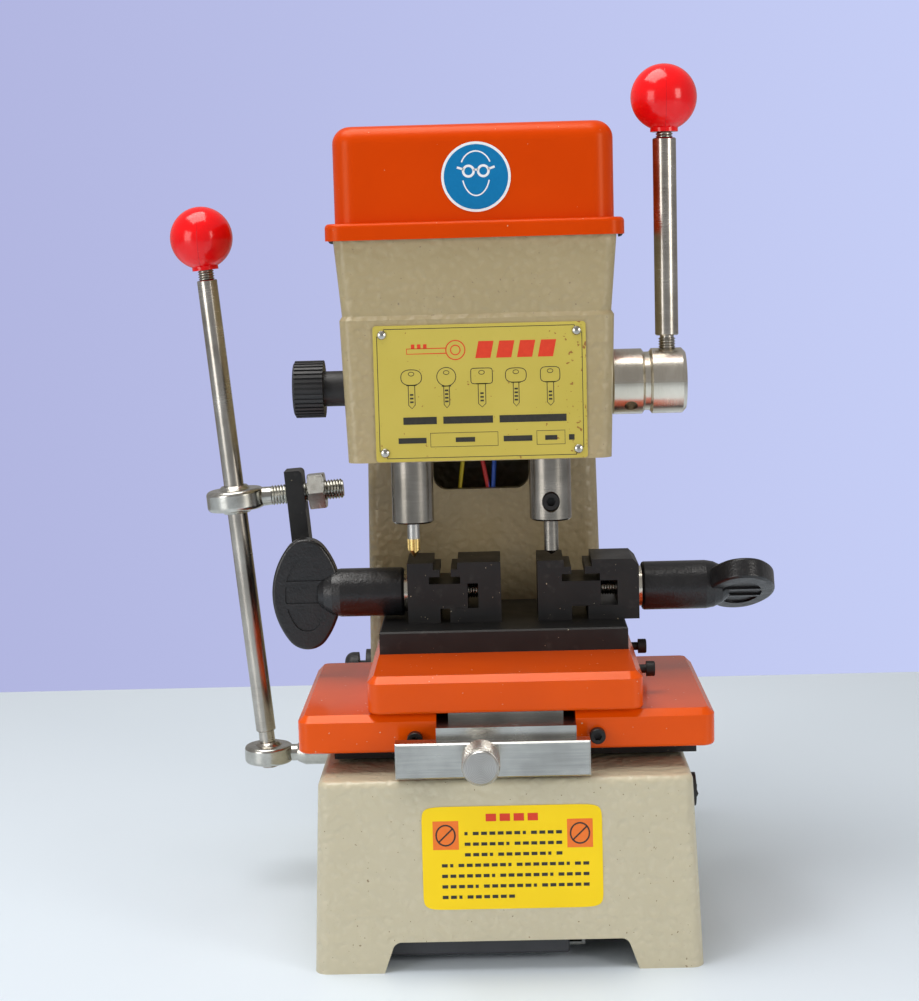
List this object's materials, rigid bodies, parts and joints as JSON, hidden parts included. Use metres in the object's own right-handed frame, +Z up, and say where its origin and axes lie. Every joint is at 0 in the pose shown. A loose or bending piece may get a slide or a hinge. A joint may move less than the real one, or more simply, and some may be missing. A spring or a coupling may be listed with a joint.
{
  "type": "key duplicating machine",
  "caption": "Vertical key duplicating machine with a cutter and tracer spindle over two key clamps on a joystick-driven cross slide.",
  "frame": {"origin": "on the table under the base, midway between its sides", "axes": "+X to the operator's right, +Y to the rear, +Z up"},
  "size_m": [0.293, 0.2862, 0.4039],
  "materials": {
    "hammertone": "beige hammertone paint",
    "orange_paint": "gloss orange enamel",
    "black_oxide": "black oxide steel",
    "black_screws": "black fasteners",
    "bright_steel": "ground and turned steel",
    "plated_steel": "zinc or nickel plated",
    "bronze": "oiled bronze",
    "titanium_nitride": "gold cutter coating",
    "red_plastic": "gloss moulded",
    "black_plastic": "moulded",
    "plate_yellow": "printed sheet",
    "battery_case": "moulded case",
    "circuit_board": "solder mask",
    "belt_rubber": "flat belt",
    "wire_insulation": "PVC insulation",
    "motor_steel": "painted can"
  },
  "bodies": {
    "frame": {"base_casting": "hammertone", "frame_bolts": "black_screws", "battery": "battery_case", "battery_straps": "bright_steel", "charger_board": "circuit_board", "rear_terminals": "black_plastic", "switch_housing": "black_plastic", "column_casting": "hammertone", "start_button_housing": "black_plastic", "motor": "motor_steel", "motor_wires": "wire_insulation", "head_casting": "hammertone", "guide_posts": "bright_steel", "name_plate": "plate_yellow", "plate_rivets": "plated_steel", "bearing_bushes": "bronze", "top_cover": "orange_paint", "cover_screws": "black_screws", "drive_belt": "belt_rubber", "x_rail": "black_oxide"},
    "rocker": {"switch_rocker": "black_plastic"},
    "button": {"start_button": "black_plastic"},
    "quill_lock": {"lock_knob": "black_plastic"},
    "feed": {"feed_hub": "plated_steel", "feed_lever": "plated_steel", "feed_knob": "red_plastic"},
    "quill": {"quill_carrier": "bright_steel", "spindle_bearings": "bright_steel", "quill_springs": "bright_steel", "tracer_spindle": "plated_steel", "tracer_set_screw": "black_screws", "tracer_pin": "bright_steel"},
    "cutter": {"cutter_spindle": "plated_steel", "cutter_bit": "titanium_nitride"},
    "spindle_drive": {"spindle_pulley": "bright_steel"},
    "motor_rotor": {"motor_pulley": "bright_steel"},
    "x_carriage": {"lower_carriage": "orange_paint", "carriage_screws": "black_screws", "x_gibs": "black_oxide"},
    "y_carriage": {"upper_carriage": "orange_paint", "gib_screws": "black_screws", "y_slide_tongue": "bright_steel", "stop_bar": "bright_steel", "clamp_bar": "black_oxide", "left_clamp_body": "black_oxide", "right_clamp_body": "black_oxide", "carriage_arm": "black_oxide", "rod_end_nut": "black_oxide"},
    "stop_screw": {"thumb_screw": "bright_steel"},
    "moving_jaw_left": {"left_jaw": "black_oxide"},
    "moving_jaw_right": {"right_jaw": "black_oxide"},
    "handle_left": {"left_clamp_screw": "plated_steel", "left_wing_handle": "black_oxide"},
    "handle_right": {"right_clamp_screw": "plated_steel", "right_wing_handle": "black_oxide"},
    "arm_rod_end": {"upper_rod_end": "plated_steel"},
    "arm_ball": {"upper_ball": "plated_steel"},
    "pivot_rod_end": {"lower_rod_end": "plated_steel"},
    "joystick": {"joystick_lever": "plated_steel", "joystick_knob": "red_plastic"}
  },
  "joints": [
    {"name": "x_slide", "type": "slide", "parent": "frame", "child": "x_carriage", "axis": [1, 0, 0], "range_m": [-0.02, 0.012]},
    {"name": "y_slide", "type": "slide", "parent": "x_carriage", "child": "y_carriage", "axis": [0, 1, 0], "range_m": [-0.014, 0.006]},
    {"name": "pivot_swing", "type": "hinge", "parent": "frame", "child": "pivot_rod_end", "pos_m": [-0.1208, 0.0175, 0.0663], "axis": [1, 0, 0], "range_deg": [-3.2, 6.6]},
    {"name": "joystick_swing", "type": "hinge", "parent": "pivot_rod_end", "child": "joystick", "pos_m": [-0.1208, 0.0175, 0.0663], "axis": [0, 1, 0], "range_deg": [-9.2, 5.6]},
    {"name": "rod_end_swing", "type": "hinge", "parent": "y_carriage", "child": "arm_rod_end", "pos_m": [-0.1326, 0.0175, 0.198], "axis": [0.9969, 0, 0.0785], "range_deg": [-3.2, 6.6]},
    {"name": "arm_ball_swing", "type": "hinge", "parent": "arm_rod_end", "child": "arm_ball", "pos_m": [-0.1326, 0.0175, 0.198], "axis": [0, 1, 0], "range_deg": [-9.2, 5.6]},
    {"name": "left_jaw_slide", "type": "slide", "parent": "y_carriage", "child": "moving_jaw_left", "axis": [1, 0, 0], "range_m": [-0.003, 0.0045]},
    {"name": "left_handle_turn", "type": "hinge", "parent": "moving_jaw_left", "child": "handle_left", "pos_m": [-0.045, -0.019, 0.1553], "axis": [1, 0, 0], "range_deg": [-870, 1302]},
    {"name": "right_jaw_slide", "type": "slide", "parent": "y_carriage", "child": "moving_jaw_right", "axis": [1, 0, 0], "range_m": [-0.0055, 0.003]},
    {"name": "right_handle_turn", "type": "hinge", "parent": "moving_jaw_right", "child": "handle_right", "pos_m": [0.0667, -0.019, 0.1553], "axis": [1, 0, 0], "range_deg": [-1590, 870]},
    {"name": "stop_screw_turn", "type": "hinge", "parent": "y_carriage", "child": "stop_screw", "pos_m": [-0.0103, -0.124, 0.099], "axis": [0, 1, 0], "range_deg": [-180, 180]},
    {"name": "feed_swing", "type": "hinge", "parent": "frame", "child": "feed", "pos_m": [0.0818, -0.03, 0.256], "axis": [1, 0, 0], "range_deg": [-49.8, 14.8]},
    {"name": "quill_slide", "type": "slide", "parent": "frame", "child": "quill", "axis": [0, 0, 1], "range_m": [-0.0026, 0.0088], "stiffness_N_per_m": 600, "springref_m": 0.028, "deforming": ["quill_springs"]},
    {"name": "quill_lock_turn", "type": "hinge", "parent": "frame", "child": "quill_lock", "pos_m": [-0.081, -0.03, 0.256], "axis": [1, 0, 0], "range_deg": [-120, 0]},
    {"name": "cutter_spin", "type": "hinge", "parent": "quill", "child": "cutter", "pos_m": [-0.041, -0.0314, 0.272], "axis": [0, 0, 1], "continuous": true},
    {"name": "spindle_pulley_spin", "type": "hinge", "parent": "frame", "child": "spindle_drive", "pos_m": [-0.041, -0.0314, 0.337], "axis": [0, 0, 1], "continuous": true},
    {"name": "motor_spin", "type": "hinge", "parent": "frame", "child": "motor_rotor", "pos_m": [-0.008, 0.072, 0.337], "axis": [0, 0, 1], "continuous": true},
    {"name": "switch_rock", "type": "hinge", "parent": "frame", "child": "rocker", "pos_m": [0.083, -0.095, 0.0743], "axis": [0, 1, 0], "range_deg": [0, 16]},
    {"name": "button_press", "type": "slide", "parent": "frame", "child": "button", "axis": [1, 0, 0], "range_m": [0, 0.003], "stiffness_N_per_m": 600, "springref_m": -0.002}
  ],
  "couplings": [
    {"joint": "pivot_swing", "follows": "y_slide", "rad_per_m": -7.56},
    {"joint": "rod_end_swing", "follows": "y_slide", "rad_per_m": -7.56},
    {"joint": "joystick_swing", "follows": "x_slide", "rad_per_m": 7.44},
    {"joint": "arm_ball_swing", "follows": "x_slide", "rad_per_m": 7.44},
    {"joint": "left_handle_turn", "follows": "left_jaw_slide", "rad_per_m": 5026.5},
    {"joint": "right_handle_turn", "follows": "right_jaw_slide", "rad_per_m": 5026.5},
    {"joint": "quill_slide", "follows": "feed_swing", "m_per_rad": -0.01},
    {"joint": "spindle_pulley_spin", "follows": "cutter_spin", "ratio": 1},
    {"joint": "motor_spin", "follows": "cutter_spin", "ratio": 1.4815}
  ]
}
